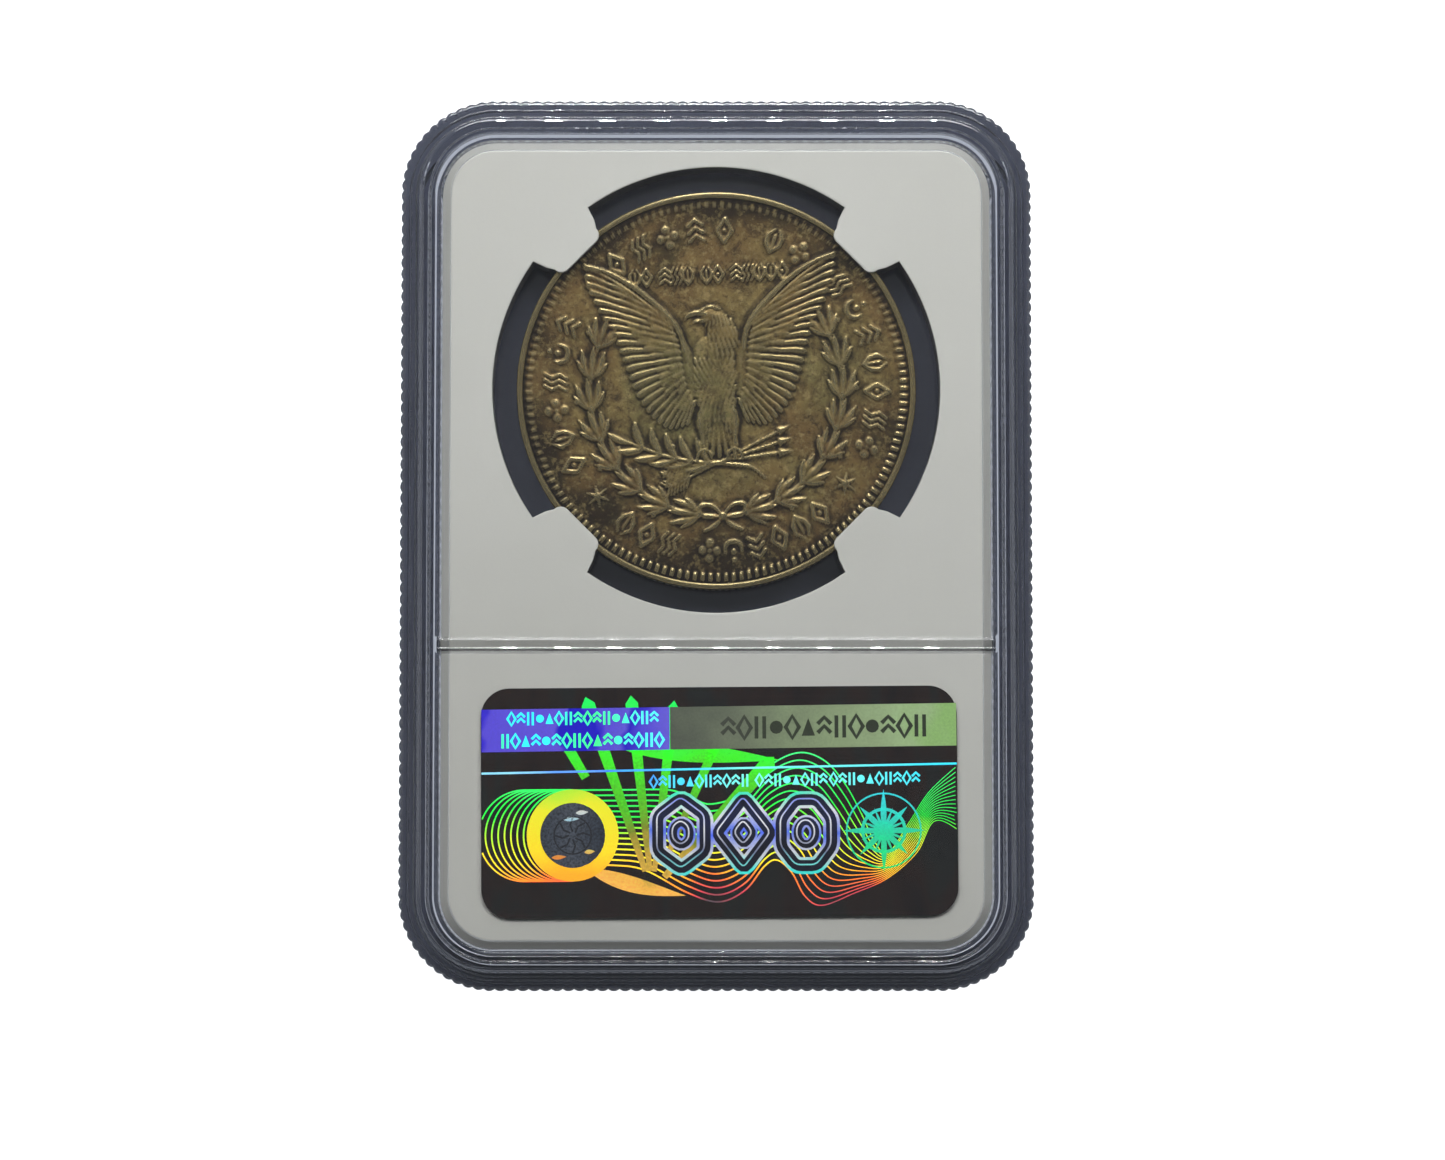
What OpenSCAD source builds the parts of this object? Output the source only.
// Graded coin slab: a sealed two-shell case that shows both faces of one large silver coin.
// The slab lies on its front window, rear face up. +X is across it, +Y runs from the label
// end to the coin end, +Z is through it. Origin: centre of the footprint, on the table.

/* [Case] */
// Width across the short side, over the reeding
case_w = 60; // [58:0.5:64]
// Height along the long side, over the reeding
case_h = 84.6; // [84:0.2:90]
// Thickness of the closed case
case_t = 8; // [7.8:0.1:9]
// Radius of the corners, over the reeding
case_r = 9; // [7.5:0.5:11]

/* [Windows] */
// Thickness of each clear window
window_t = 1; // [0.8:0.1:1]
// How far each window sits below its raised frame
window_recess = 0.8; // [0.7:0.05:0.85]
// Width of the bar that divides the coin side from the label side
divider_w = 1.4; // [1:0.1:2]
// Height of that bar above the window
divider_rise = 0.55; // [0.3:0.05:0.6]

/* [Reeding] */
// Number of ribs round the case; a multiple of four keeps it symmetric
reed_count = 256; // [200:4:300]
// Depth of the reeding
reed_depth = 0.2; // [0.1:0.02:0.24]

/* [Core] */
// Diameter of the see-through aperture round the coin
aperture_d = 42.6; // [42:0.1:44]
// Width of a prong where it leaves the aperture wall
prong_root_w = 7.7; // [6:0.1:9]
// Width of a prong at its tip
prong_tip_w = 5.6; // [4:0.1:6]
// How far a prong's lips lap over the coin's rim
prong_lap = 0.95; // [0.6:0.05:1.2]

/* [Coin] */
// Diameter of the coin
coin_d = 38.1; // [38:0.1:38.2]
// Thickness of the coin at its rim
coin_t = 2.4; // [2.2:0.1:2.5]
// Height of the coin's centre above the middle of the case
coin_y = 14.7; // [14:0.1:15]

/* [Labels] */
// Width of the hologram label
hologram_w = 45; // [40:0.1:47]
// Height of the hologram label
hologram_h = 21.7; // [18:0.1:23]
// How far the hologram label is turned, in degrees
hologram_turn = 0.4; // [-2:0.1:2]
// Width of the grading label
grading_w = 48; // [44:0.5:49]
// Height of the grading label
grading_h = 25.5; // [20:0.5:26]
// Distance of both labels' centre below the middle of the case
label_y = 24.6; // [24:0.1:25]

/* [Hidden] */
$fn = 96;

// Heights in a half shell run from 0 at the weld plane to half_t at the outer face
half_t = case_t / 2;
window_outer = half_t - window_recess;
window_inner = window_outer - window_t;
reed_top = half_t - 1.4;
shoulder_z = half_t - 1.05;
land_z = half_t - 0.5;
inner_step_z = half_t - 0.3;
ledge_z = window_inner - 0.4;

// Insets of the frame's edges, from the reeding's crests inwards
reed_band = 0.7;
shoulder_inset = 0.45;
land_inset = 1.1;
crown_inset = 2;
crown_end = 2.8;
inner_step = 3.3;
cavity_inset = 3.7;
ledge_inset = 4.7;
edge_slope = 0.1;

// Core: the shells' inner ledges hold its edge from both sides
core_gap = 0.05;
core_t = 2 * (window_inner - 0.5);
core_chamfer = 0.9;
core_chamfer_w = 1;
lip_gap = 0.03;

// Weld: a tongue on the rear shell sits in a groove in the front shell.
tongue_inset = 1.6;
tongue_w = 0.8;
tongue_rise = 0.3;
groove_gap = 0.05;

divider_y = -9.6;
divider_crest_w = 0.7;
tick_size = [0.6, 0.42, 0.12];
tick_pitch = 0.97;

coin_rim_w = 0.9;
coin_field_drop = 0.25;
prong_tip_r = 0.9;
label_t = 0.1;
card_t = 0.3;
label_r = 2.7;
join = 0.02;

clear_tint = [0.45, 0.48, 0.55, 0.45];
core_white = [0.86, 0.87, 0.85];
toned_silver = [0.47, 0.42, 0.29];
card_white = [0.93, 0.92, 0.88];
foil_black = [0.12, 0.12, 0.13];

// ---- Shapes that repeat ----

// A rectangle with round corners, centred
module round_rect(w, h, r) {
    union() {
        square([w - 2 * r, h], center = true);
        square([w, h - 2 * r], center = true);
        for (sx = [-1, 1], sy = [-1, 1])
            translate([sx * (w / 2 - r), sy * (h / 2 - r)])
                circle(r);
    }
}

// The case's outline moved inwards by a distance
module inset_outline(inset) {
    round_rect(case_w - 2 * inset, case_h - 2 * inset, case_r - inset);
}

// A ring that follows the case's outline, from one inset to the next
module outline_ring(inset, w, h) {
    linear_extrude(h)
        difference() {
            inset_outline(inset);
            inset_outline(inset + w);
        }
}

// Sweeps a cross section of [inset, height] points round the case
module outline_sweep(section) {
    corner = [for (p = section) [case_r - p[0], p[1]]];
    straight_x = case_w - 2 * case_r;
    straight_y = case_h - 2 * case_r;
    union() {
        for (quarter = [0:3]) {
            sx = quarter == 0 || quarter == 3 ? 1 : -1;
            sy = quarter < 2 ? 1 : -1;
            translate([sx * straight_x / 2, sy * straight_y / 2, 0])
                rotate([0, 0, 90 * quarter])
                    rotate_extrude(angle = 90)
                        polygon(corner);
        }
        for (turn = [0, 180]) {
            rotate([0, 0, turn])
                translate([straight_x / 2, 0, 0])
                    rotate([90, 0, 0])
                        linear_extrude(straight_y, center = true)
                            polygon(corner);
            rotate([0, 0, turn + 90])
                translate([straight_y / 2, 0, 0])
                    rotate([90, 0, 0])
                        linear_extrude(straight_x, center = true)
                            polygon(corner);
        }
    }
}

// ---- Reeding ----

side_y = case_h / 2 - case_r;
side_x = case_w / 2 - case_r;
arc_len = PI * case_r / 2;
quarter_len = side_y + arc_len + side_x;

// Point and outward direction, s along a quarter of the outline from the middle of the right side
function quarter_spot(s) =
    s < side_y ? [[case_w / 2, s], [1, 0]] :
    s < side_y + arc_len ?
        let (a = (s - side_y) / case_r * 180 / PI, d = [cos(a), sin(a)])
            [[side_x, side_y] + case_r * d, d] :
    [[side_x - (s - side_y - arc_len), case_h / 2], [0, 1]];

reed_steps = 4;
reed_samples = reed_count / 4 * reed_steps;
reed_quarter = [for (i = [0:reed_samples])
    let (spot = quarter_spot(i * quarter_len / reed_samples),
         depth = reed_depth * (1 - cos(360 * i / reed_steps)) / 2)
        spot[0] - depth * spot[1]];
// The quarter's points mirrored into a full turn, with the shared end points left out
function mirrored(points, sx, sy) = [for (p = points) [sx * p[0], sy * p[1]]];
function backwards(points) = [for (i = [len(points) - 1:-1:0]) points[i]];
function inner_of(points) = [for (i = [1:len(points) - 2]) points[i]];
reed_outline = concat(
    reed_quarter,
    backwards(inner_of(mirrored(reed_quarter, -1, 1))),
    mirrored(reed_quarter, -1, -1),
    backwards(inner_of(mirrored(reed_quarter, 1, -1))));

module reeding() {
    linear_extrude(reed_top)
        difference() {
            polygon(reed_outline);
            inset_outline(reed_band);
        }
}

// ---- Shells ----

// Cross section of the frame: outer wall, steps up to the crown, then down to the window
frame_section = [
    [reed_depth, 0],
    [reed_depth, reed_top],
    [shoulder_inset, shoulder_z],
    [land_inset - edge_slope, shoulder_z + edge_slope],
    [land_inset, land_z - edge_slope],
    [crown_inset - 2.5 * edge_slope, land_z],
    [crown_inset, half_t],
    [crown_end, half_t],
    [crown_end + edge_slope, inner_step_z + edge_slope],
    [inner_step, inner_step_z],
    [cavity_inset, window_outer],
    [ledge_inset, window_outer],
    [ledge_inset, ledge_z],
    [cavity_inset, ledge_z],
    [cavity_inset, 0]
];

module divider() {
    half = divider_w / 2;
    crest = divider_crest_w / 2;
    translate([0, divider_y, window_outer])
        rotate([90, 0, 90])
            linear_extrude(case_w - 2 * inner_step, center = true)
                polygon([[-half, -join], [half, -join], [half, 0],
                         [crest, divider_rise], [-crest, divider_rise], [-half, 0]]);
}

// One shell with its outer face up and its weld plane at height 0
module half_shell() {
    union() {
        outline_sweep(frame_section);
        translate([0, 0, window_inner])
            linear_extrude(window_t)
                inset_outline(ledge_inset - join);
        reeding();
        divider();
    }
}

// Plain moulding marks on the frame's inner step at the coin end
module mould_ticks() {
    y = case_h / 2 - inner_step;
    for (run = [[-13.7, 8], [11.2, 3]])
        for (i = [0:run[1] - 1])
            translate([run[0] + i * tick_pitch, y, inner_step_z - join])
                cube(tick_size);
}

module front_shell() {
    color(clear_tint)
        translate([0, 0, half_t])
            difference() {
                mirror([0, 0, 1])
                    half_shell();
                translate([0, 0, -tongue_rise - groove_gap])
                    outline_ring(tongue_inset - groove_gap, tongue_w + 2 * groove_gap,
                                 tongue_rise + 2 * groove_gap);
            }
}

module rear_shell() {
    color(clear_tint)
        translate([0, 0, half_t])
            union() {
                half_shell();
                mould_ticks();
                translate([0, 0, -tongue_rise])
                    outline_ring(tongue_inset, tongue_w, tongue_rise + join);
            }
}

// ---- Core ----

// The solid slab of the core, chamfered all round on both faces
module core_blank() {
    edge = cavity_inset + core_gap;
    edge_z = core_t / 2 - core_chamfer;
    flat = edge + core_chamfer_w;
    union() {
        outline_sweep([
            [edge, -edge_z],
            [edge, edge_z],
            [flat, core_t / 2],
            [flat + 2 * join, core_t / 2],
            [flat + 2 * join, -core_t / 2],
            [flat, -core_t / 2]
        ]);
        translate([0, 0, -core_t / 2])
            linear_extrude(core_t)
                inset_outline(flat + join);
    }
}

// One prong: a wedge from the aperture wall to the coin, its tip corners rounded
module prong() {
    root = aperture_d / 2 + 0.6;
    tip = coin_d / 2 - prong_lap;
    taper = (prong_root_w - prong_tip_w) / 2 / (root - tip);
    half_tip = prong_tip_w / 2;
    shoulder = tip + prong_tip_r;
    corner_y = half_tip - prong_tip_r;
    linear_extrude(core_t, center = true)
        union() {
            polygon([
                [shoulder, -half_tip],
                [root, -half_tip - taper * (root - shoulder)],
                [root, half_tip + taper * (root - shoulder)],
                [shoulder, half_tip]
            ]);
            translate([tip, -corner_y])
                square([prong_tip_r + join, 2 * corner_y]);
            for (side = [-1, 1])
                translate([shoulder, side * corner_y])
                    circle(prong_tip_r);
        }
}

module prong_core() {
    color(core_white)
        translate([0, 0, half_t])
            difference() {
                union() {
                    difference() {
                        core_blank();
                        translate([0, coin_y, 0])
                            cylinder(h = core_t + 1, d = aperture_d, center = true, $fn = 180);
                    }
                    for (a = [45:90:315])
                        translate([0, coin_y, 0])
                            rotate([0, 0, a])
                                prong();
                }
                // groove that grips the coin's edge
                translate([0, coin_y, 0])
                    cylinder(h = coin_t + 2 * lip_gap, d = coin_d + 0.1, center = true, $fn = 180);
                // pocket for the grading label in the front face
                translate([0, -label_y, -core_t / 2 - join])
                    linear_extrude(card_t + 2 * join)
                        round_rect(grading_w + 0.2, grading_h + 0.2, label_r);
            }
}

// ---- Contents ----

// A struck disc: raised rim and recessed fields on both faces, with a plain raised medallion
module coin() {
    field_r = coin_d / 2 - coin_rim_w;
    color(toned_silver)
        translate([0, coin_y, half_t])
            union() {
                difference() {
                    cylinder(h = coin_t, d = coin_d, center = true, $fn = 180);
                    for (face = [-1, 1])
                        translate([0, 0, face * coin_t / 2])
                            cylinder(h = 2 * coin_field_drop, r = field_r, center = true, $fn = 180);
                }
                cylinder(h = coin_t - coin_field_drop, r = coin_d / 5, center = true);
            }
}

module grading_label() {
    color(card_white)
        translate([0, -label_y, half_t - core_t / 2])
            linear_extrude(card_t)
                round_rect(grading_w, grading_h, label_r);
}

module hologram_label() {
    color(foil_black)
        translate([0.3, 0.1 - label_y, half_t + window_inner - label_t])
            rotate(hologram_turn)
            linear_extrude(label_t)
                round_rect(hologram_w, hologram_h, label_r);
}

front_shell();
rear_shell();
prong_core();
coin();
grading_label();
hologram_label();
